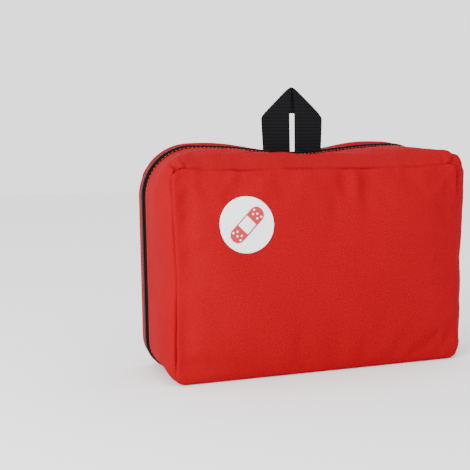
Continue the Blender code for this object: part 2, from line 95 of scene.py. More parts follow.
def node(tree, kind, inputs=None, **settings):
    made = tree.nodes.new(kind)
    for key, value in settings.items():
        setattr(made, key, value)
    for key, value in (inputs or {}).items():
        socket = made.inputs[key]
        if isinstance(value, bpy.types.NodeSocket):
            tree.links.new(value, socket)
        else:
            socket.default_value = value
    return made


def maths(tree, operation, a, b=0.0, clamp=False):
    made = node(tree, "ShaderNodeMath", {0: a, 1: b}, operation=operation)
    made.use_clamp = clamp
    return made.outputs[0]


def mixed(tree, share, first, second):
    made = node(tree, "ShaderNodeMix", data_type="RGBA")
    for socket, value in ((made.inputs[0], share), (made.inputs[6], first), (made.inputs[7], second)):
        if isinstance(value, bpy.types.NodeSocket):
            tree.links.new(value, socket)
        else:
            socket.default_value = value if socket.type != "RGBA" or len(value) == 4 else (*value, 1.0)
    return made.outputs[2]


def ramp(tree, value, low, high):
    made = node(tree, "ShaderNodeMapRange", {"Value": value, "From Min": low, "From Max": high})
    return made.outputs[0]


def uv_parts(tree, from_uv=True):
    """Distances along the cloth in metres: from the piece's own UV map, or from the frame's X + Y and Z."""
    if from_uv:
        uv = node(tree, "ShaderNodeUVMap", uv_map="cloth")
        parts = node(tree, "ShaderNodeSeparateXYZ", {0: uv.outputs[0]})
        return uv.outputs[0], parts.outputs[0], parts.outputs[1]
    place = node(tree, "ShaderNodeTexCoord")
    parts = node(tree, "ShaderNodeSeparateXYZ", {0: place.outputs["Object"]})
    return place.outputs["Object"], maths(tree, "ADD", parts.outputs[0], parts.outputs[1]), parts.outputs[2]


def wave(tree, distance, pitch):
    """A sine that changes sign every pitch along a distance."""
    return maths(tree, "SINE", maths(tree, "MULTIPLY", distance, math.pi / pitch))


def grain_of(tree, vector, scale, detail):
    noise_inputs = {"Vector": vector, "Scale": scale, "Detail": detail}
    return node(tree, "ShaderNodeTexNoise", noise_inputs).outputs[0]


def shades(color, share):
    """The same colour, darker by a share."""
    return tuple(share * c for c in color)


def add_bump(tree, shader, height, distance, strength=1.0):
    bump = node(tree, "ShaderNodeBump", {"Height": height, "Distance": distance, "Strength": strength})
    tree.links.new(bump.outputs[0], shader.inputs["Normal"])


def cloth_material(name, color, dark, pitch=0.0007, rough=0.82, sheen=0.25, grain=0.16, bump=0.00012,
                   from_uv=True):
    """Woven cloth: thread relief, colour grain from thread to thread, faint wear, and painted shade that
    darkens the cloth where it turns in at the front seam.
    """
    made, tree, shader = new_material(name, {
        "Roughness": rough, "Sheen Weight": sheen, "Sheen Roughness": 0.5, "Sheen Tint": (*color, 1.0),
        "Specular IOR Level": 0.05,
    })
    vector, u, v = uv_parts(tree, from_uv)
    fine = grain_of(tree, vector, 900.0, 2.0)
    wide = grain_of(tree, vector, 28.0, 3.0)
    weave = maths(tree, "MULTIPLY", wave(tree, u, pitch), wave(tree, v, pitch))
    threads = maths(tree, "ADD", maths(tree, "MULTIPLY", weave, 0.3), maths(tree, "MULTIPLY", fine, 0.8))
    share = maths(tree, "MULTIPLY", maths(tree, "ADD", threads, 0.15), grain * 4, True)
    worn = mixed(tree, ramp(tree, wide, 0.35, 0.75), shades(color, 0.93), color)
    # painted shade: where it turns in at the front seam, the cloth is darkened towards a quarter of its
    # colour
    painted_seam_shade = node(tree, "ShaderNodeAttribute", attribute_name="painted_seam_shade").outputs["Fac"]
    cloth = mixed(tree, painted_seam_shade, mixed(tree, share, dark, worn), shades(color, 0.25))
    tree.links.new(cloth, shader.inputs["Base Color"])
    add_bump(tree, shader, threads, bump * 4, 0.8)
    return made


def ribbed_material(name, color, pitch, bump=0.0003, rough=0.6, from_uv=True):
    """Webbing: ribs across the strip and fine threads along it."""
    made, tree, shader = new_material(name, {"Roughness": rough, "Specular IOR Level": 0.1})
    vector, _, v = uv_parts(tree, from_uv)
    ribs = maths(tree, "ABSOLUTE", wave(tree, v, pitch))
    height = maths(tree, "ADD", ribs, maths(tree, "MULTIPLY", grain_of(tree, vector, 1400.0, 2.0), 0.5))
    cloth = mixed(tree, ramp(tree, height, 0.2, 1.3), shades(color, 0.35), color)
    tree.links.new(cloth, shader.inputs["Base Color"])
    add_bump(tree, shader, height, bump, 0.9)
    return made


def plain_material(name, color, rough=0.5, metal=0.0, noise_scale=400.0, bump=0.00002, coat=0.0,
                   specular=0.5):
    """Plastic, metal, film or thread: one colour with a fine grain and relief."""
    made, tree, shader = new_material(name, {
        "Roughness": rough, "Metallic": metal, "Coat Weight": coat, "Specular IOR Level": specular,
    })
    grain = grain_of(tree, node(tree, "ShaderNodeTexCoord").outputs["Object"], noise_scale, 4.0)
    share = ramp(tree, grain, 0.3, 0.7)
    tree.links.new(mixed(tree, share, shades(color, 0.88), color), shader.inputs["Base Color"])
    add_bump(tree, shader, grain, bump, 0.6)
    return made


RIB_PITCH = 0.0025  # from one rib of the webbing to the next

RED = cloth_material("red_oxford_cloth", (0.35, 0.0, 0.007), (0.17, 0.0, 0.002), pitch=0.0010, sheen=0.0,
                     grain=0.22, bump=0.00008)
LINING = cloth_material("black_lining_cloth", (0.020, 0.020, 0.023), (0.008, 0.008, 0.010), pitch=0.0005,
                        rough=0.7, sheen=0.1)
TAPE_CLOTH = cloth_material("black_zip_tape", (0.003, 0.003, 0.004), (0.001, 0.001, 0.0015), pitch=0.0006,
                            rough=0.7, sheen=0.02)
COIL_PLASTIC = plain_material("black_coil", (0.003, 0.003, 0.004), 0.5, specular=0.12)
WEBBING = ribbed_material("black_webbing_ribs", (0.0035, 0.0035, 0.0045), RIB_PITCH)
RED_THREAD = plain_material("red_thread", (0.55, 0.02, 0.02), 0.6, noise_scale=2000.0)
BADGE_WHITE = plain_material("badge_white", (0.86, 0.86, 0.90), 0.45, noise_scale=1500.0, bump=0.00003)
BADGE_RED = plain_material("badge_red", (0.42, 0.0, 0.008), 0.45, noise_scale=1500.0, bump=0.00003)


# ---- mesh helpers ----
def make(name, points, faces, material, uv=None, corner_uv=None):
    """A mesh piece. uv is per point, in metres; corner_uv holds the exceptions, by face and point."""
    mesh = bpy.data.meshes.new(name)
    mesh.from_pydata([tuple(p) for p in points], [], [tuple(f) for f in faces])
    mesh.update()
    if uv is not None:
        layer = mesh.uv_layers.new(name="cloth")
        for face in mesh.polygons:
            for index in face.loop_indices:
                point = mesh.loops[index].vertex_index
                layer.data[index].uv = (corner_uv or {}).get((face.index, point), uv[point])
    obj = bpy.data.objects.new(name, mesh)
    bpy.context.scene.collection.objects.link(obj)
    mesh.materials.append(material)
    mesh.shade_smooth()
    return obj


def applied(obj):
    """Bakes the modifiers into the mesh."""
    bpy.context.view_layer.update()
    graph = bpy.context.evaluated_depsgraph_get()
    evaluated = obj.evaluated_get(graph)
    mesh = bpy.data.meshes.new_from_object(evaluated, preserve_all_data_layers=True, depsgraph=graph)
    obj.modifiers.clear()
    obj.data = mesh
    return obj


def thicken(obj, thickness, offset=-1.0):
    modifier = obj.modifiers.new("thickness", "SOLIDIFY")
    modifier.thickness = thickness
    modifier.offset = offset
    modifier.use_even_offset = False
    return obj


def tube_faces(start, rings, sides):
    """Faces of a closed tube, whose rings of points follow one another from the point numbered start."""
    faces = []
    for r in range(rings - 1):
        low, high = start + r * sides, start + (r + 1) * sides
        for n in range(sides):
            m = (n + 1) % sides
            faces.append((low + n, low + m, high + m, high + n))
    last = start + (rings - 1) * sides
    faces.append(tuple(start + n for n in reversed(range(sides))))
    faces.append(tuple(last + n for n in range(sides)))
    return faces


def bar_points(origin, axis, side, other, profile, radius, sides):
    """Points of a short bar; its profile holds distances along the axis and shares of the radius."""
    points = []
    for shift, share in profile:
        for k in range(sides):
            angle = 2 * math.pi * k / sides
            spoke = side * math.cos(angle) + other * math.sin(angle)
            points.append(origin + axis * shift + spoke * radius * share)
    return points


def finish_piece(obj, body, replaced=()):
    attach(obj, body)
    if replaced:
        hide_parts(*replaced)
    return obj


# ---- the case's form ----
def dip(x):
    return math.exp(-((x / SAG_HALF_WIDTH) ** 2))


def rounded(a, b, half_w, low, high, r_top, r_low):
    """The point of a rounded rectangle for square coordinates a and b, which run from -1 to 1."""
    mid, half_h = (low + high) / 2, (high - low) / 2
    x, z = a * half_w, b * half_h
    r = r_top if z > 0 else r_low
    u = (abs(x) - (half_w - r)) / r
    v = (abs(z) - (half_h - r)) / r
    if u > 0 and v > 0:
        x = math.copysign(half_w - r + r * u * math.sqrt(1 - v * v / 2), x)
        z = math.copysign(half_h - r + r * v * math.sqrt(1 - u * u / 2), z)
    return x, mid + z


def border_cells():
    """Grid cells of the border, from the lower left corner up, over, down and back along the base."""
    cells = [(0, j) for j in range(UP)]
    cells += [(i, UP) for i in range(ACROSS)]
    cells += [(ACROSS, j) for j in range(UP, 0, -1)]
    cells += [(i, 0) for i in range(ACROSS, 0, -1)]
    return cells


BORDER = border_cells()
CLOSING_CELL = 0.0024  # length of the cell that closes each ring of the tub


def crowded(t):
    """Moves evenly spaced values from -1 to 1 closer together near both ends."""
    return t + 0.6 * math.sin(math.pi * t) / math.pi


def square(i, j):
    return crowded(2 * i / ACROSS - 1), crowded(2 * j / UP - 1)


def smooth_noise(p, scale, seed):
    return noise.noise(Vector(p) * scale + Vector((seed * 7.3, seed * 3.1, seed * 5.7)))


# of the tub: depth behind the seam, added half width, base height, rise of the top, radius of the upper
# corners and of the lower ones, share of the top's dip
TUB_RINGS = (
    (0.0000, 0.0000, 0.0006, 0.0000, 0.0110, 0.0090, 0.00),
    (0.0012, 0.0007, 0.0002, 0.0005, 0.0120, 0.0092, 0.00),
    (0.0030, 0.0018, 0.0000, 0.0014, 0.0135, 0.0100, 0.02),
    (0.0065, 0.0036, 0.0000, 0.0034, 0.0165, 0.0120, 0.06),
    (0.0115, 0.0054, 0.0000, 0.0058, 0.0215, 0.0150, 0.12),
    (0.0175, 0.0066, 0.0000, 0.0078, 0.0260, 0.0180, 0.24),
    (0.0245, 0.0073, 0.0000, 0.0092, 0.0300, 0.0200, 0.42),
    (0.0320, 0.0078, 0.0000, 0.0102, 0.0330, 0.0210, 0.62),
    (0.0400, 0.0082, 0.0000, 0.0111, 0.0350, 0.0215, 0.84),
    (0.0470, 0.0085, 0.0000, 0.0119, 0.0360, 0.0220, 1.00),
)


FIRST_DEPTHS = (0.0, 0.0012, 0.0028)  # of the rings close behind the seam
LATER_RINGS = 22
SEAM_DROP = 0.0036  # how far the top seam's middle hangs below its corners
RIGHT_BULGE = 0.0062


def widening(z):
    """The filled case spreads towards its base."""
    return SPREAD * (1 - 2 * z / FRONT_TOP)


def seam_drop(x, z, depth):
    """The top seam sits lower between the corners than at them."""
    share = min(1.0, abs(x) / HALF_W)
    return SEAM_DROP * (1 - share ** 8) * max(0.0, z / FRONT_TOP) ** 8 * max(0.0, 1 - depth / 0.014)


def interpolated_rings():
    """The tub's rings by interpolation of TUB_RINGS: a few close behind the seam, then evenly to the zip."""
    table = np.array(TUB_RINGS)
    last = TAPE_Y0 - 0.0002 - SEAM_Y
    table[:, 0] *= last / table[-1, 0]
    rings = []
    for depth in np.concatenate([FIRST_DEPTHS, np.linspace(0.0048, last, LATER_RINGS)]):
        rings.append((depth, *[float(np.interp(depth, table[:, 0], column)) for column in table[:, 1:].T]))
    return rings


def right_bulge(a, z, depth):
    """The right side of the case swells more behind its seam, most of all near the top."""
    if a <= 0:
        return 0.0
    height = min(1.0, 0.35 + 0.85 * max(0.0, z) / FRONT_TOP)
    swell = math.exp(-(((depth - 0.0085) / 0.0075) ** 2)) * min(1.0, depth / 0.004)
    return RIGHT_BULGE * height * swell


def tub_ring_point(i, j, ring):
    depth, wide, base, rise, r_top, r_low, dip_share = ring
    a, b = square(i, j)
    x, z = rounded(a, b, HALF_W + wide, base, FRONT_TOP + rise, r_top, r_low)
    z -= SAG * dip_share * dip(x) * (max(0.0, z) / (FRONT_TOP + rise)) ** 3
    z -= seam_drop(x, z, depth)
    outer = min(1.0, abs(a) * 1.2)
    x += math.copysign(widening(min(z, FRONT_TOP)) * max(0.0, 1 - depth / 0.05), x) * outer
    bulge = right_bulge(a, z, depth)
    x += bulge * outer
    z += 0.75 * bulge * max(0.0, b) ** 6 * max(0.0, a) ** 3
    return Vector((x, SEAM_Y + depth, z))


def crown(a, b):
    return max(0.0, 1 - a ** 4) * max(0.0, 1 - b ** 4)


def front_point(i, j):
    a, b = square(i, j)
    x, z = rounded(a, b, HALF_W, 0.0006, FRONT_TOP, 0.0100, 0.0080)
    x += math.copysign(widening(z), x) * min(1.0, abs(a) * 1.2)
    edge = min((1 - abs(a)) * HALF_W, (1 - abs(b)) * FRONT_TOP / 2)
    lift = 1 - math.exp(-edge / 0.0050)
    y = SEAM_Y - 0.0020 * lift + (CROWN_Y - SEAM_Y + 0.0020) * crown(a, b)
    return Vector((x, y, z - seam_drop(x, z, 0.0)))


def front_grid():
    """Points and faces of the front panel, row by row from the base."""
    points = [front_point(i, j) for j in range(UP + 1) for i in range(ACROSS + 1)]
    faces = []
    width = ACROSS + 1
    for j in range(UP):
        for i in range(ACROSS):
            k = j * width + i
            faces.append((k, k + 1, k + 1 + width, k + width))
    return points, faces


def tub_grid():
    """The tub's cloth: the front grid first, then one ring of points after another back to the zip."""
    points, faces = front_grid()
    uv = [(p.x, p.z) for p in points]
    rings = interpolated_rings()
    previous = [j * (ACROSS + 1) + i for i, j in BORDER]
    along = border_lengths([tub_ring_point(i, j, rings[-1]) for i, j in BORDER])
    corner_uv = {}
    for ring in rings[1:]:
        start = len(points)
        for (i, j), length in zip(BORDER, along):
            points.append(tub_ring_point(i, j, ring))
            uv.append((length, ring[0]))
        row = list(range(start, len(points)))
        for n, length in enumerate(along):
            m = (n + 1) % len(row)
            next_length = along[m] if m else length + CLOSING_CELL
            face = len(faces)
            faces.append((previous[n], previous[m], row[m], row[n]))
            if ring is rings[1]:
                corner_uv[(face, previous[n])] = (length, 0.0)
                corner_uv[(face, previous[m])] = (next_length, 0.0)
            if m == 0:
                corner_uv[(face, row[0])] = (next_length, ring[0])
        previous = row
    return points, faces, uv, len(rings) - 1, corner_uv


def border_lengths(points):
    lengths, total = [], 0.0
    for n, p in enumerate(points):
        lengths.append(total)
        total += (points[(n + 1) % len(points)] - p).length
    return lengths


def seam_tree():
    """A search tree over points close together along the front seam."""
    corners = [front_point(i, j) for i, j in BORDER]
    line = []
    for first, second in zip(corners, corners[1:] + corners[:1]):
        line += [first.lerp(second, share) for share in (0.0, 0.33, 0.67)]
    tree = KDTree(len(line))
    for index, p in enumerate(line):
        tree.insert(p, index)
    tree.balance()
    return tree


SEAM_TREE = seam_tree()


def seam_distance(p):
    return SEAM_TREE.find(p)[2]


CLOTH_FRAMES = 18
CLOTH_GROWTH = 0.012  # share by which the cloth is larger than its outline
CLOTH_PRESSURE = 1.5
MOST_SHIFT = 0.0035  # the farthest that the simulation moves the front
WRINKLE_SEED = 3


def add_cloth(obj):
    modifier = obj.modifiers.new("cloth", "CLOTH")
    settings = modifier.settings
    settings.quality = 6
    settings.mass = 0.25
    settings.tension_stiffness = 30
    settings.compression_stiffness = 30
    settings.shear_stiffness = 12
    settings.bending_stiffness = 1.2
    settings.air_damping = 2
    settings.shrink_min = -CLOTH_GROWTH
    settings.use_pressure = True
    settings.uniform_pressure_force = CLOTH_PRESSURE
    settings.vertex_group_mass = "pinned"
    settings.effector_weights.gravity = 0.0
    modifier.point_cache.frame_end = CLOTH_FRAMES
    return modifier


def limited(shift, start):
    """The simulated shift, capped by region and damped towards the front seam and the zip."""
    size = np.linalg.norm(shift, axis=1)
    behind = start[:, 1] > SEAM_Y + 0.0006
    cap = np.where(behind, 0.45 * MOST_SHIFT, MOST_SHIFT)
    shift *= (cap * np.tanh(size / cap) / np.maximum(size, 1e-9))[:, None]
    to_seam = np.array([seam_distance(p) for p in start])
    shift *= (1 - 0.9 * np.exp(-to_seam / 0.009))[:, None]
    to_zip = np.maximum(TAPE_Y0 - start[:, 1], 0.0)
    shift *= (1 - np.exp(-to_zip / 0.014))[:, None]
    return shift


def wrinkle_cloth(obj, pinned):
    """A short simulation: the cloth is a little larger than its outline, so it swells between its seams."""
    group = obj.vertex_groups.new(name="pinned")
    for index, weight in enumerate(pinned):
        if weight > 0:
            group.add([index], weight, "REPLACE")
    start = np.array([v.co for v in obj.data.vertices])
    for vertex in obj.data.vertices:
        push = 0.0005 * smooth_noise(vertex.co, 42.0, WRINKLE_SEED)
        if pinned[vertex.index] < 0.9:
            vertex.co += vertex.normal * push
    modifier = add_cloth(obj)
    scene = bpy.context.scene
    for number in range(1, CLOTH_FRAMES + 1):
        scene.frame_set(number)
    graph = bpy.context.evaluated_depsgraph_get()
    moved = np.array([v.co for v in obj.evaluated_get(graph).to_mesh().vertices])
    obj.modifiers.remove(modifier)
    scene.frame_set(1)
    for vertex, p in zip(obj.data.vertices, start + limited(moved - start, start)):
        vertex.co = (p[0], p[1], max(p[2], 0.0))
    obj.data.update()


def pin_weights(points, ring_count):
    """Full weight on the seam, the zip edge and the base; a part of it on the front's lowest stretch."""
    front_count = (ACROSS + 1) * (UP + 1)
    pinned = [0.0] * len(points)
    for i, j in BORDER:
        pinned[j * (ACROSS + 1) + i] = 1.0
    for k in range(front_count, len(points)):
        ring = (k - front_count) // len(BORDER)
        if ring >= ring_count - 1 or points[k].z < 0.0004:
            pinned[k] = 1.0
    for k in range(front_count):
        if points[k].z < 0.004:
            pinned[k] = max(pinned[k], 0.6)
    return pinned


def tub_shell():
    points, faces, uv, ring_count, corner_uv = tub_grid()
    obj = make("tub_shell", points, faces, RED, uv=uv, corner_uv=corner_uv)
    wrinkle_cloth(obj, pin_weights(points, ring_count))
    return obj


def top_share(p):
    """From 0 at the sides of the case to 1 along its top."""
    return min(1.0, max(0.0, (p.z - 0.122) / 0.014))


def pucker(p, near):
    """Height of the small folds that the sewing draws into the cloth, near metres from the front seam."""
    top = top_share(p)
    across = noise.noise(Vector((p.x * 135.0, (p.z + p.y) * 14.0, 3.7)))
    down = noise.noise(Vector((p.z * 95.0, (p.x + p.y) * 12.0, 9.1)))
    broad = noise.noise(Vector((p.x * 22.0, p.y * 22.0, p.z * 16.0)))
    height = 0.0011 * top * across * math.exp(-near / 0.010)
    height += 0.00045 * (1 - top) * down * math.exp(-near / 0.009)
    return (height + 0.0009 * broad) * min(1.0, p.z / 0.015)


# creases round an upper corner: degrees round the bend, half width in degrees, height
CORNER_TUCKS = ((47, 4.5, -0.0026), (68, 4.5, -0.0012), (25, 5.0, -0.0013), (57, 5.0, 0.0014))


def corner_tuck(p):
    """Creases that run back from the upper corners, where the cloth is eased round the bend."""
    depth = p.y - SEAM_Y
    if depth < 0.0005 or depth > 0.034 or p.z < FRONT_TOP - 0.03 or abs(p.x) < HALF_W - 0.035:
        return 0.0
    centre_x, centre_z = HALF_W - 0.016, FRONT_TOP - 0.016
    angle = math.degrees(math.atan2(p.z - centre_z, abs(p.x) - centre_x))
    height = 0.0
    for middle, width, tuck_height in CORNER_TUCKS:
        middle += 240.0 * depth * (1 if middle > 45 else -1)
        height += tuck_height * math.exp(-(((angle - middle) / width) ** 2))
    if p.x > 0:
        height *= 0.6
    return height * math.exp(-((depth / 0.011) ** 2)) * min(1.0, depth / 0.0015)


# soft dents in the front, and one low swelling: middle x and z, half width, half height, depth
DENTS = (
    (0.0150, 0.1340, 0.0050, 0.0120, 0.0019),
    (0.0320, 0.1300, 0.0065, 0.0150, 0.0019),
    (0.0240, 0.1330, 0.0045, 0.0120, -0.0010),
    (-0.0985, 0.1020, 0.0050, 0.0300, 0.0013),
    (-0.1000, 0.0420, 0.0055, 0.0240, 0.0009),
    (-0.0860, 0.1200, 0.0140, 0.0120, 0.0016),
    (-0.0800, 0.0500, 0.0160, 0.0130, 0.0014),
    (0.0780, 0.0500, 0.0200, 0.0150, 0.0012),
)


def dents(p):
    if p.y > SEAM_Y:
        return 0.0
    total = 0.0
    for x, z, half_w, half_h, depth in DENTS:
        total += depth * math.exp(-((p.x - x) / half_w) ** 2 - ((p.z - z) / half_h) ** 2)
    return total


def seam_strength(p, left, top, right):
    """How much the front seam shows at a place, given its strength on the left, on top and on the right."""
    side = (left + right) / 2 - (left - right) / 2 * math.tanh(p.x / 0.03)
    share = side + (top - side) * top_share(p)
    share *= max(0.15, 0.70 + 0.95 * noise.noise(Vector((p.x * 42.0, p.z * 34.0, 1.9))))
    return share * min(1.0, max(0.0, (p.z - 0.004) / 0.012))


def seam_valley(p, near):
    """Depth of the soft valley along the front seam: clear on the left, faint on top, lost on the right."""
    return 0.0019 * seam_strength(p, 1.0, 0.75, 0.2) * math.exp(-((max(0.0, near - 0.0004) / 0.0012) ** 2))


def crease_shade(p, near):
    """How much painted shade darkens the cloth where it turns in at the front seam, from 0 to 1."""
    shown = seam_strength(p, 0.60, 0.42, 0.12) * math.exp(-((max(0.0, near - 0.0004) / 0.0007) ** 2))
    return min(1.0, max(0.0, shown))


def soften_seam(obj, reach=0.0030, rounds=5):
    """Rounds the fold along the front seam."""
    group = obj.vertex_groups.new(name="near_seam")
    points = np.array([v.co for v in obj.data.vertices])
    for index, p in enumerate(points):
        weight = math.exp(-((seam_distance(p) / reach) ** 2)) * min(1.0, p[2] / 0.006)
        if weight > 0.01:
            group.add([index], weight, "REPLACE")
    modifier = obj.modifiers.new("soften", "SMOOTH")
    modifier.factor = 0.5
    modifier.iterations = rounds
    modifier.vertex_group = group.name
    return applied(obj)


def draw_in_seams(obj):
    mesh = obj.data
    normals = [v.normal.copy() for v in mesh.vertices]
    shade = mesh.attributes.new("painted_seam_shade", "FLOAT", "POINT")
    for vertex, normal in zip(mesh.vertices, normals):
        p = vertex.co.copy()
        if p.z < 0.0015 or p.y > TAPE_Y0 - 0.0030:
            continue
        near = seam_distance(p)
        # painted shade along the front seam, stored for the cloth's material
        shade.data[vertex.index].value = crease_shade(p, near)
        vertex.co = p + normal * (pucker(p, near) + corner_tuck(p) - seam_valley(p, near) - dents(p))
        vertex.co.z = max(vertex.co.z, 0.0)
    mesh.update()


def subdivide_once(obj):
    modifier = obj.modifiers.new("smooth", "SUBSURF")
    modifier.levels = modifier.render_levels = 1
    return applied(obj)


def sewn_tub():
    """The finished tub: simulated, smoothed, creased along its seam and given the cloth's thickness."""
    tub = tub_shell()
    subdivide_once(tub)
    soften_seam(tub)
    draw_in_seams(tub)
    thicken(tub, CLOTH_T)
    applied(tub)
    finish_piece(tub, "tub", ("front_panel", "front_gusset", "bottom_gusset"))
    return tub


# ---- lid ----
HOOP_SHAPE = (0.0090, 0.0, 0.0131, 0.0360, 0.0220, 1.0)  # as in TUB_RINGS, without the depth
ZIP_END = 0.0945  # the zip ends this far from the middle, under the lower corners
LOWEST_LID = 0.0006
BACK_SEAM_IN = 0.0026

# the rear band's cross-section: distance in front of the back, distance outwards
BAND_PROFILE = (
    (0.0004, -0.0012), (0.0022, 0.0004), (0.0045, 0.0014), (0.0070, 0.0016), (0.0095, 0.0012),
    (BACK_Y - TAPE_Y1 - 0.0002, 0.0005),
)
BAND_OUT_LOW = 0.0004  # the most it stands out below the top


def hoop_point(i, j, y, outward=0.0):
    wide, base, rise, r_top, r_low, dip_share = HOOP_SHAPE
    ring = (y - SEAM_Y, wide + outward, base, rise + outward, r_top + outward, r_low + outward, dip_share)
    return tub_ring_point(i, j, ring)


def hoop_cells():
    """Border cells along the left side, the top and the right side, without the base."""
    hoop_half_w = HALF_W + HOOP_SHAPE[0]
    base = [(i, 0) for i in range(ACROSS, 0, -1) if abs(square(i, 0)[0]) * hoop_half_w < ZIP_END]
    return BORDER[BORDER.index(base[-1]) + 1:] + BORDER[:BORDER.index(base[0])]


HOOP = hoop_cells()


def even_points(points, step):
    """Points at even distances along a polyline."""
    lengths = [0.0]
    for first, second in zip(points, points[1:]):
        lengths.append(lengths[-1] + (second - first).length)
    places = np.linspace(0, lengths[-1], int(lengths[-1] / step))
    columns = np.array([tuple(p) for p in points]).T
    return [Vector([float(np.interp(place, lengths, column)) for column in columns]) for place in places]


def band_rise(p):
    """The rear band's top stands a little above the zip on both sides of the loop."""
    if p.z < HOOP_TOP - 0.012:
        return 0.0
    return 0.0022 * (1 - dip(p.x * 1.3)) * math.exp(-((abs(p.x) - 0.055) / 0.040) ** 2)


def back_grid():
    """Points and faces of the back panel."""
    width = ACROSS + 1
    points, faces = [], []
    for j in range(UP + 1):
        for i in range(width):
            p = hoop_point(i, j, BACK_Y, -BACK_SEAM_IN)
            p.z = max(p.z, LOWEST_LID)
            soft = 0.0006 * smooth_noise(p, 18.0, 5)
            swell = crown(*square(i, j))
            p.y = BACK_Y - 0.0010 + 0.0016 * swell + soft * swell
            points.append(p)
    for j in range(UP):
        for i in range(ACROSS):
            k = j * width + i
            faces.append((k, k + width, k + 1 + width, k + 1))
    return points, faces


def band_point(i, j, depth, outward):
    """A point of the rear band, which stands out more on top than at the sides."""
    p = hoop_point(i, j, BACK_Y - depth, outward)
    if p.z < HOOP_TOP - 0.020:
        p = hoop_point(i, j, BACK_Y - depth, min(outward, BAND_OUT_LOW))
    p.z += 0.0005 * smooth_noise(p, 30.0, 9) + band_rise(p) * min(1.0, (BACK_Y - TAPE_Y1 - depth) / 0.004)
    p.z = max(p.z, LOWEST_LID)
    return p


def lid_shell():
    """Back panel and rear band in one grid; the band has no base."""
    points, faces = back_grid()
    uv = [(p.x, p.z) for p in points]
    corner_uv = {}
    previous = [j * (ACROSS + 1) + i for i, j in HOOP]
    lengths = border_lengths([hoop_point(i, j, BACK_Y) for i, j in HOOP])
    for depth, outward in BAND_PROFILE:
        start = len(points)
        points += [band_point(i, j, depth, outward) for i, j in HOOP]
        uv += [(length, depth) for length in lengths]
        row = list(range(start, len(points)))
        for n in range(len(row) - 1):
            if depth == BAND_PROFILE[0][0]:
                corner_uv[(len(faces), previous[n])] = (lengths[n], 0.0)
                corner_uv[(len(faces), previous[n + 1])] = (lengths[n + 1], 0.0)
            faces.append((previous[n], row[n], row[n + 1], previous[n + 1]))
        previous = row
    obj = make("lid_shell", points, faces, RED, uv=uv, corner_uv=corner_uv)
    subdivide_once(obj)
    thicken(obj, CLOTH_T)
    applied(obj)
    for vertex in obj.data.vertices:
        vertex.co.z = max(vertex.co.z, 0.0)
    finish_piece(obj, "lid", ("back_panel", "rear_band"))


def strip_along(name, rows, material, thickness, flip=False):
    """A strip of cloth through rows of points of equal length, with a UV map in metres."""
    count = len(rows[0])
    lengths = [0.0]
    for first, second in zip(rows[0], rows[0][1:]):
        lengths.append(lengths[-1] + (second - first).length)
    points, uv = [], []
    across = 0.0
    for k, row in enumerate(rows):
        if k:
            across += (row[count // 2] - rows[k - 1][count // 2]).length
        points += row
        uv += [(length, across) for length in lengths]
    faces = []
    for k in range(len(rows) - 1):
        for n in range(count - 1):
            quad = (k * count + n, k * count + n + 1, (k + 1) * count + n + 1, (k + 1) * count + n)
            faces.append(quad[::-1] if flip else quad)
    obj = make(name, points, faces, material, uv=uv)
    thicken(obj, thickness, 0.0)
    return applied(obj)


BASE_HALF_W = 0.0930
BASE_Z = 0.0008
# of the hinge lining: distance in front of the back, height
HINGE_PATH = ((0.0100, 0.0021), (0.0060, 0.0021), (0.0040, 0.0025), (0.0030, 0.0034), (0.0025, 0.0050),
              (0.0025, 0.0090))


def base_strip():
    """The last stretch of the base cloth, back to the lid, and the lining that bends where the lid folds."""
    xs = [-BASE_HALF_W + 2 * BASE_HALF_W * k / 60 for k in range(61)]
    front_y, length = TAPE_Y0 - 0.0006, BACK_Y - 0.0022 - TAPE_Y0
    rows = [[Vector((x, front_y + t * length, BASE_Z)) for x in xs] for t in (0, 0.5, 1)]
    obj = strip_along("base_strip", rows, RED, 0.0012, True)
    finish_piece(obj, "tub")

    rows = [[Vector((x, BACK_Y - inward, z)) for x in xs] for inward, z in HINGE_PATH]
    fold = strip_along("hinge_lining", rows, LINING, 0.0005, True)
    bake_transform(fold)


# ---- zip ----
TOOTH_PITCH = 0.00140
TOOTH_R = 0.00050
TOOTH_OUT = 0.0008  # how far the teeth stand out from the tapes
TOOTH_REACH = 0.0026  # from the zip's middle line over its own tape
TOOTH_OVERLAP = 0.0006  # and over the other one
ZIP_SLOPE = 0.10  # the zip faces a little forwards
TAPE_GAP = 0.0012  # from the zip's middle line to each tape
TAPE_T = 0.0007
TAPE_CURVE = 0.0004
MIDDLE_Z = 0.07  # a height inside the hoop, to tell outwards from inwards


def above_floor(p, least=0.0009):
    """The point itself, or the one straight above it where the zip turns in under the case."""
    return Vector((p.x, p.y, max(p.z, least)))


def zip_tapes():
    sides = (
        ("zip_tape_front_cloth", TAPE_Y0 - 0.0001, ZIP_Y - TAPE_GAP, "tub", "zip_tape_front"),
        ("zip_tape_rear_cloth", ZIP_Y + TAPE_GAP, TAPE_Y1 + 0.0001, "lid", "zip_tape_rear"),
    )
    for name, low, high, body, replaced in sides:
        rows = []
        for t in (0.0, 0.35, 0.7, 1.0):
            y = low + (high - low) * t
            outward = ZIP_SLOPE * (y - ZIP_Y) + TAPE_CURVE * (1 - (2 * t - 1) ** 2)
            rows.append([above_floor(hoop_point(i, j, y, outward)) for i, j in HOOP])
        obj = strip_along(name, rows, TAPE_CLOTH, TAPE_T)
        finish_piece(obj, body, (replaced,))


def tooth_profile(side):
    """Distances along one coil turn and shares of its radius; it reaches over its own tape."""
    low, high = (-TOOTH_REACH, TOOTH_OVERLAP) if side < 0 else (-TOOTH_OVERLAP, TOOTH_REACH)
    return ((low, 0.55), (low + 0.0004, 1.0), (high - 0.0004, 1.0), (high, 0.55))


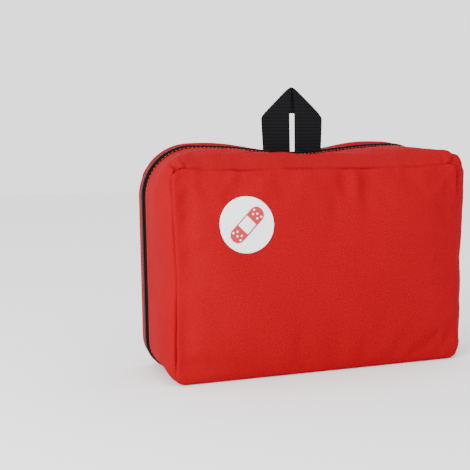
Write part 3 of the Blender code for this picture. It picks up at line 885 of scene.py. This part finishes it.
def zip_teeth():
    """The coil's turns on each side, as short rounded bars that meet over the zip's middle line."""
    backwards = Vector((0.0, 1.0, 0.0))
    path = even_points([hoop_point(i, j, ZIP_Y, 0.0) for i, j in HOOP], TOOTH_PITCH / 2)
    for side, name, body, replaced in ((-1, "zip_teeth_front", "tub", "zip_coil_front"),
                                       (1, "zip_teeth_rear", "lid", "zip_coil_rear")):
        points, faces = [], []
        for k in range(1, len(path) - 1):
            if (k % 2 == 0) != (side < 0):
                continue
            along = (path[k + 1] - path[k - 1]).normalized()
            outward = along.cross(backwards).normalized()
            if outward.dot(path[k] - Vector((0.0, path[k].y, MIDDLE_Z))) < 0:
                outward = -outward
            centre = path[k] + outward * TOOTH_OUT
            turn = bar_points(centre, backwards, along, outward, tooth_profile(side), TOOTH_R, 6)
            faces += tube_faces(len(points), 4, 6)
            points += [above_floor(p) for p in turn]
        obj = make(name, points, faces, COIL_PLASTIC)
        finish_piece(obj, body, (replaced,))


STITCH_LENGTH = 0.0021
STITCH_GAP = 0.0009
STITCH_R = 0.00022
STITCH_PROFILE = ((0.0, 0.2), (0.0004, 1.0), (STITCH_LENGTH - 0.0004, 1.0), (STITCH_LENGTH, 0.2))


def stitch_row(name, path, body):
    """Dashes of thread along a path; each dash is a short thin bar with pointed ends."""
    even = even_points(path, STITCH_LENGTH + STITCH_GAP)
    points, faces = [], []
    for first, second in zip(even, even[1:]):
        along = (second - first).normalized()
        side = along.orthogonal().normalized()
        dash = bar_points(first, along, side, along.cross(side), STITCH_PROFILE, STITCH_R, 5)
        faces += tube_faces(len(points), 4, 5)
        points += dash
    finish_piece(make(name, points, faces, RED_THREAD), body)


def zip_stitching():
    front = [hoop_point(i, j, TAPE_Y0 - 0.0013, -0.0006) for i, j in HOOP]
    rear = [hoop_point(i, j, TAPE_Y1 + 0.0015, 0.0006) for i, j in HOOP]
    stitch_row("stitching_front", front, "tub")
    stitch_row("stitching_rear", rear, "lid")


# ---- hanging loop ----
WEB_T = 0.0013
RIB_HEIGHT = 0.00020
LAYER_STEP = WEB_T + 0.0005  # from the middle of the legs' webbing to that of the crossing
LOOP_X = (LOOP_LOW.x + LOOP_HIGH.x) / 2
LOOP_INNER = 0.0022  # half the slot between the legs
LOOP_OUTER = (LOOP_HIGH.x - LOOP_LOW.x) / 2
SLOT_RISE = 0.0022  # the slot's top, above the shoulders
FOLD_ROWS = 60
FOLD_SIDES = 10
LOOP_Y = TAPE_Y1 + 0.0010
LOOP_PEAK = LOOP_HIGH.z
LOOP_SHOULDER = LOOP_PEAK - (LOOP_OUTER - LOOP_INNER)


def rib(distance):
    return RIB_HEIGHT * abs(math.sin(math.pi * distance / RIB_PITCH))


def web_slab(rows, along_v):
    """A strip of webbing from rows of (x, z) points, ribbed across its length, with soft edges."""
    steps_u, steps_v = len(rows[0]), len(rows)
    points, uv, faces = [], [], []
    for face in (-1, 1):
        for r, row in enumerate(rows):
            for c, (x, z) in enumerate(row):
                u, v = c / (steps_u - 1), r / (steps_v - 1)
                edge = min(u, 1 - u) if along_v else min(v, 1 - v)
                body = 1 - math.exp(-edge * 26)
                distance = z if along_v else x
                y = face * (WEB_T / 2 * (0.45 + 0.55 * body) + rib(distance) * body)
                points.append(Vector((x, y, z)))
                uv.append((x, z) if along_v else (z, x))
    grid = steps_u * steps_v
    for layer in (0, 1):
        for r in range(steps_v - 1):
            for c in range(steps_u - 1):
                k = layer * grid + r * steps_u + c
                quad = (k, k + 1, k + 1 + steps_u, k + steps_u)
                faces.append(quad if layer else quad[::-1])
    rim = [r * steps_u for r in range(steps_v)]
    rim += [(steps_v - 1) * steps_u + c for c in range(1, steps_u)]
    rim += [r * steps_u + steps_u - 1 for r in range(steps_v - 2, -1, -1)]
    rim += list(range(steps_u - 2, 0, -1))
    for n, k in enumerate(rim):
        m = rim[(n + 1) % len(rim)]
        faces.append((k, m, m + grid, k + grid))
    return points, uv, faces


def peak_shift(z):
    """The two folds lean together towards the peak."""
    return (LOOP_INNER - 0.0004) * min(1.0, max(0.0, (z - LOOP_SHOULDER) / (LOOP_PEAK - LOOP_SHOULDER)))


def leg_rows(sign):
    """One leg of the loop with its diagonal top, from the case up."""
    rows = []
    for r in range(150):
        v = r / 149
        waist = 0.0009 * (1 - v) ** 1.5
        row = []
        for c in range(25):
            u = c / 24
            x = LOOP_INNER + (LOOP_OUTER - LOOP_INNER) * u
            low = HOOP_TOP - SAG * dip(LOOP_X + sign * x) - 0.0012
            corner = 0.0018 * math.exp(-(1 - u) * 9) + 0.0007 * math.exp(-u * 12)
            high = LOOP_SHOULDER + (LOOP_PEAK - LOOP_SHOULDER) * (1 - u) - corner
            pulled = LOOP_INNER - 0.0003 * (1 - v) + (LOOP_OUTER - LOOP_INNER - waist) * u
            z = low + (high - low) * v
            row.append((sign * (pulled - peak_shift(z)), z))
        rows.append(row if sign > 0 else row[::-1])
    return rows


def crossing_rows():
    """The stretch of webbing that crosses behind the legs, from the slot's top to the peak."""
    low = LOOP_SHOULDER + SLOT_RISE
    high = LOOP_PEAK - 0.0006
    rows = []
    for r in range(30):
        z = low + (high - low) * r / 29
        reach = LOOP_INNER + (LOOP_PEAK - z) - 0.0008 - peak_shift(z)
        rows.append([(-reach + 2 * reach * c / 90, z) for c in range(91)])
    return rows


def rolled_fold(sign):
    """Rows of points round the fold along one diagonal edge, from the front layer to the rear one."""
    first = Vector((sign * (LOOP_OUTER - 0.0006), 0.0, LOOP_SHOULDER - 0.0016))
    second = Vector((sign * 0.0004, 0.0, LOOP_PEAK - 0.0012))
    along = second - first
    normal = Vector((-along.z, 0.0, along.x)).normalized()
    if normal.z < 0:
        normal = -normal
    middle = Vector((LOOP_X, LOOP_Y + LAYER_STEP / 2, 0.0))
    points, uv = [], []
    for r in range(FOLD_ROWS):
        t = r / (FOLD_ROWS - 1)
        centre = first + along * t
        swell = 1 - 0.55 * abs(2 * t - 1) ** 8
        radius = (WEB_T + 0.0003) * swell + rib(along.length * t * 0.72)
        for k in range(FOLD_SIDES):
            angle = math.pi * k / (FOLD_SIDES - 1) - math.pi / 2
            back = Vector((0.0, math.sin(angle) * radius, 0.0))
            points.append(centre + normal * (math.cos(angle) * radius - 0.0004) + middle + back)
            uv.append((k * 0.0004, centre.z))
    return points, uv


def fold_faces(start, sign):
    faces = []
    for r in range(FOLD_ROWS - 1):
        for k in range(FOLD_SIDES - 1):
            n = start + r * FOLD_SIDES + k
            quad = (n, n + 1, n + 1 + FOLD_SIDES, n + FOLD_SIDES)
            faces.append(quad if sign > 0 else quad[::-1])
    return faces


def hanging_loop():
    """Both legs with their diagonal tops, the crossing behind them, and the rolled folds between the two."""
    parts = ((leg_rows(-1), True, 0.0), (leg_rows(1), True, 0.0), (crossing_rows(), False, LAYER_STEP))
    points, uv, faces = [], [], []
    for rows, along_v, shift in parts:
        more, more_uv, more_faces = web_slab(rows, along_v)
        start = len(points)
        points += [p + Vector((LOOP_X, LOOP_Y + shift, 0.0)) for p in more]
        uv += more_uv
        faces += [tuple(k + start for k in face) for face in more_faces]
    for sign in (-1, 1):
        faces += fold_faces(len(points), sign)
        more, more_uv = rolled_fold(sign)
        points += more
        uv += more_uv
    obj = make("hanging_loop_web", points, faces, WEBBING, uv=uv)
    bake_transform(obj)
    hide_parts("hanging_loop", "loop_crossing")


# ---- badge ----
def front_surface(obj):
    """A function that gives the y of the cloth's front at (x, z)."""
    bpy.context.view_layer.update()
    tree = BVHTree.FromObject(obj, bpy.context.evaluated_depsgraph_get())

    def at(x, z):
        hit = tree.ray_cast(Vector((x, -0.2, z)), Vector((0.0, 1.0, 0.0)))
        return hit[0].y if hit[0] is not None else CROWN_Y

    return at


def decal(name, rows, lift, material, surface, thickness=0.00012):
    """A thin printed shape that lies on the cloth; rows hold (x, z) points."""
    columns = len(rows[0])
    points = [Vector((x, surface(x, z) - lift, z)) for row in rows for x, z in row]
    faces = []
    for r in range(len(rows) - 1):
        for c in range(columns - 1):
            k = r * columns + c
            faces.append((k, k + 1, k + 1 + columns, k + columns))
    obj = make(name, points, faces, material)
    thicken(obj, thickness)
    applied(obj)
    return finish_piece(obj, "tub")


def stadium(centre, length, width, tilt, steps=40, across=12):
    """Rows of points that fill a strip with round ends."""
    rows = []
    for r in range(across + 1):
        v = 2 * r / across - 1
        row = []
        for c in range(steps + 1):
            x = (2 * c / steps - 1) * length / 2
            over = max(0.0, abs(x) - (length / 2 - width / 2))
            half = math.sqrt(max(0.0, (width / 2) ** 2 - over ** 2))
            z = v * half
            row.append((centre[0] + x * math.cos(tilt) - z * math.sin(tilt),
                        centre[1] + x * math.sin(tilt) + z * math.cos(tilt)))
        rows.append(row)
    return rows


PRINT_LIFT = 0.00046  # how far the plaster's print lies off the cloth
TOP_PRINT_LIFT = 0.00062
PLASTER_TILT = math.radians(45)
PLASTER_LENGTH, PLASTER_WIDTH = 1.56 * BADGE_R, 0.56 * BADGE_R
PAD_HALF = 0.235 * BADGE_R
DOT_SIZE = 0.075 * BADGE_R
DOTS = ((0.42, -0.11), (0.42, 0.11), (0.54, 0.0), (0.56, 0.18), (0.56, -0.18))  # in badge radii


def on_badge(x, z):
    """A place on the plaster, turned with it."""
    cos, sin = math.cos(PLASTER_TILT), math.sin(PLASTER_TILT)
    return BADGE_X + x * cos - z * sin, BADGE_Z + x * sin + z * cos


def badge(tub):
    """A white disc with a sticking plaster drawn on it."""
    surface = front_surface(tub)
    disc = decal("badge_disc", stadium((BADGE_X, BADGE_Z), 2 * BADGE_R, 2 * BADGE_R, 0.0, 64, 48), 0.00030,
                 BADGE_WHITE, surface)
    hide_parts("badge")
    plaster = stadium((BADGE_X, BADGE_Z), PLASTER_LENGTH, PLASTER_WIDTH, PLASTER_TILT)
    decal("badge_plaster", plaster, PRINT_LIFT, BADGE_RED, surface)
    steps = [-PAD_HALF + 2 * PAD_HALF * k / 8 for k in range(9)]
    decal("badge_pad", [[on_badge(x, z) for x in steps] for z in steps], TOP_PRINT_LIFT, BADGE_WHITE, surface)
    number = 0
    for side in (-1, 1):
        for across, up in DOTS:
            number += 1
            dot = stadium(on_badge(side * across * BADGE_R, up * BADGE_R), DOT_SIZE, DOT_SIZE, 0.0, 10, 8)
            decal(f"badge_dot_{number}", dot, TOP_PRINT_LIFT, BADGE_WHITE, surface)


# ---- what is inside ----
NET_PITCH = 0.0016


def net_material():
    """Black net: threads in two directions with open holes between them."""
    made, tree, shader = new_material("black_net", {"Base Color": (0.02, 0.02, 0.022, 1.0), "Roughness": 0.6})
    _, u, v = uv_parts(tree, False)
    lines = []
    for turned in (maths(tree, "ADD", u, v), maths(tree, "SUBTRACT", u, v)):
        lines.append(maths(tree, "LESS_THAN", maths(tree, "ABSOLUTE", wave(tree, turned, NET_PITCH)), 0.42))
    tree.links.new(maths(tree, "MAXIMUM", lines[0], lines[1]), shader.inputs["Alpha"])
    return made


def printed_material(name, color, ink, low_z, high_z, lines=0.0):
    """A packet's wrapper with a printed band between two heights, or with printed lines that far apart."""
    made, tree, shader = new_material(name, {"Roughness": 0.55})
    place = node(tree, "ShaderNodeTexCoord").outputs["Object"]
    height = node(tree, "ShaderNodeSeparateXYZ", {0: place}).outputs[2]
    above, below = maths(tree, "GREATER_THAN", height, low_z), maths(tree, "LESS_THAN", height, high_z)
    inside = maths(tree, "MULTIPLY", above, below)
    if lines:
        line = maths(tree, "GREATER_THAN", wave(tree, height, lines / 2), 0.45)
        inside = maths(tree, "MULTIPLY", inside, line)
    grain = grain_of(tree, place, 500.0, 4.0)
    crinkle = grain_of(tree, place, 70.0, 2.0)
    paper = mixed(tree, ramp(tree, grain, 0.3, 0.7), shades(color, 0.93), color)
    tree.links.new(mixed(tree, inside, paper, ink), shader.inputs["Base Color"])
    relief = maths(tree, "ADD", crinkle, maths(tree, "MULTIPLY", grain, 0.1))
    add_bump(tree, shader, relief, 0.0005, 0.7)
    return made


def inside_materials():
    """Materials of the carried-over CAD nodes, each with the nodes that it is for."""
    lining = cloth_material("black_lining_inside", (0.022, 0.022, 0.025), (0.009, 0.009, 0.011), pitch=0.0006,
                            rough=0.7, sheen=0.1, from_uv=False)
    gauze = cloth_material("gauze_crepe", (0.86, 0.84, 0.78), (0.62, 0.60, 0.54), pitch=0.0012, rough=0.9,
                           sheen=0.2, grain=0.22, bump=0.0002, from_uv=False)
    elastic = ribbed_material("black_elastic", (0.018, 0.018, 0.020), 0.0012, 0.0002, 0.65, from_uv=False)
    paper = (0.84, 0.85, 0.86)
    film = plain_material("packet_film", (0.62, 0.76, 0.86), 0.18, noise_scale=60.0, bump=0.0004, coat=0.5)
    foil = plain_material("packet_foil", (0.80, 0.64, 0.28), 0.28, 0.9, 90.0, 0.0004)
    steel = plain_material("brushed_steel_tool", (0.62, 0.62, 0.64), 0.28, 1.0, 700.0, 0.00001)
    lacquer = plain_material("black_lacquer_metal", (0.02, 0.02, 0.022), 0.3, 0.5, 600.0)
    grip = plain_material("red_grip_plastic", (0.55, 0.015, 0.018), 0.4, noise_scale=500.0)
    adhesive = plain_material("beige_tape", (0.80, 0.66, 0.50), 0.65, noise_scale=900.0, bump=0.00006)
    return (
        (lining, ("tub_divider",)),
        (gauze, ("gauze_roll_wide", "gauze_roll_narrow")),
        (film, ("glove_packet", "triangular_bandage")),
        (foil, ("rescue_blanket", "wipe_sachet_1", "wipe_sachet_2")),
        (net_material(), ("net_pocket",)),
        (elastic, ("pocket_elastic", "scissor_loop", "tweezer_loop")),
        (steel, ("scissor_blade_a", "scissor_blade_b", "scissor_rivet", "tweezers")),
        (grip, ("scissor_grip_a", "scissor_grip_b")),
        (lacquer, ("slider_body", "pull_tab")),
        (adhesive, ("tape_roll",)),
        (printed_material("dressing_wrapper", paper, (0.05, 0.22, 0.45), 0.058, 0.070), ("dressing_packet",)),
        (printed_material("gauze_pad_wrapper", paper, (0.06, 0.34, 0.22), 0.062, 0.070),
         ("gauze_pad_packet",)),
        (printed_material("plaster_wrapper", paper, (0.72, 0.30, 0.14), 0.090, 0.101), ("plaster_packet",)),
        (printed_material("leaflet_paper", paper, (0.30, 0.31, 0.34), 0.026, 0.060, 0.0032), ("leaflet",)),
    )


def dress_inside():
    for material, names in inside_materials():
        for name in names:
            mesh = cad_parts[name].data
            mesh.materials.clear()
            mesh.materials.append(material)


tub_piece = sewn_tub()
lid_shell()
base_strip()
zip_tapes()
zip_teeth()
zip_stitching()
hanging_loop()
badge(tub_piece)
dress_inside()


# ---- stage ----
FLOOR_SIZE = 8.0
FLOOR_Z = -0.0002
WORLD_STRENGTH = 1.9
LIGHTS_AIM = Vector((0.0, 0.0, 0.08))
LIGHTS = (  # name, place, side of the square lamp, power in watts
    ("key", (-0.8, -0.60, 0.42), 0.5, 14.0),
    ("fill", (0.2, -1.4, 0.9), 1.2, 3.0),
)
CAMERA_AZIMUTH, CAMERA_ELEVATION, CAMERA_ROLL = math.radians(-17.83), math.radians(5.03), math.radians(-1.0)
CAMERA_PLACE = Vector((-0.2309, -0.5492, 0.1479))
LENS_MM = 61.8
SENSOR_MM = 36.0


def pale_floor():
    bpy.ops.mesh.primitive_plane_add(size=FLOOR_SIZE, location=(0.0, 0.0, FLOOR_Z))
    floor = bpy.context.active_object
    floor.name = "floor"
    pale = {"Base Color": (0.92, 0.92, 0.92, 1.0), "Roughness": 0.9, "Specular IOR Level": 0.1}
    floor.data.materials.append(new_material("floor_pale", pale)[0])


def studio_light():
    """A white surround and two soft lamps."""
    world = bpy.data.worlds.new("studio")
    bpy.context.scene.world = world
    world.use_nodes = True
    background = world.node_tree.nodes["Background"]
    background.inputs[0].default_value = (1.0, 1.0, 1.0, 1.0)
    background.inputs[1].default_value = WORLD_STRENGTH
    for name, place, size, power in LIGHTS:
        light = bpy.data.lights.new(name, "AREA")
        light.energy = power
        light.size = size
        lamp = bpy.data.objects.new(name, light)
        bpy.context.scene.collection.objects.link(lamp)
        lamp.location = place
        lamp.rotation_euler = (LIGHTS_AIM - Vector(place)).to_track_quat("-Z", "Y").to_euler()


def camera_axes():
    """The camera's right, up and backward directions, as columns."""
    level = math.cos(CAMERA_ELEVATION)
    back = Vector((math.sin(CAMERA_AZIMUTH) * level, -math.cos(CAMERA_AZIMUTH) * level,
                   math.sin(CAMERA_ELEVATION)))
    right = Vector((math.cos(CAMERA_AZIMUTH), math.sin(CAMERA_AZIMUTH), 0.0))
    up = back.cross(right)
    cos, sin = math.cos(CAMERA_ROLL), math.sin(CAMERA_ROLL)
    return Matrix((right * cos + up * sin, -right * sin + up * cos, back)).transposed()


def photo_camera():
    camera = bpy.data.objects.new("camera", bpy.data.cameras.new("camera"))
    bpy.context.scene.collection.objects.link(camera)
    camera.matrix_world = Matrix.Translation(CAMERA_PLACE) @ camera_axes().to_4x4()
    camera.data.lens = LENS_MM
    camera.data.sensor_width = SENSOR_MM
    camera.data.clip_start = 0.01
    bpy.context.scene.camera = camera


pale_floor()
studio_light()
photo_camera()
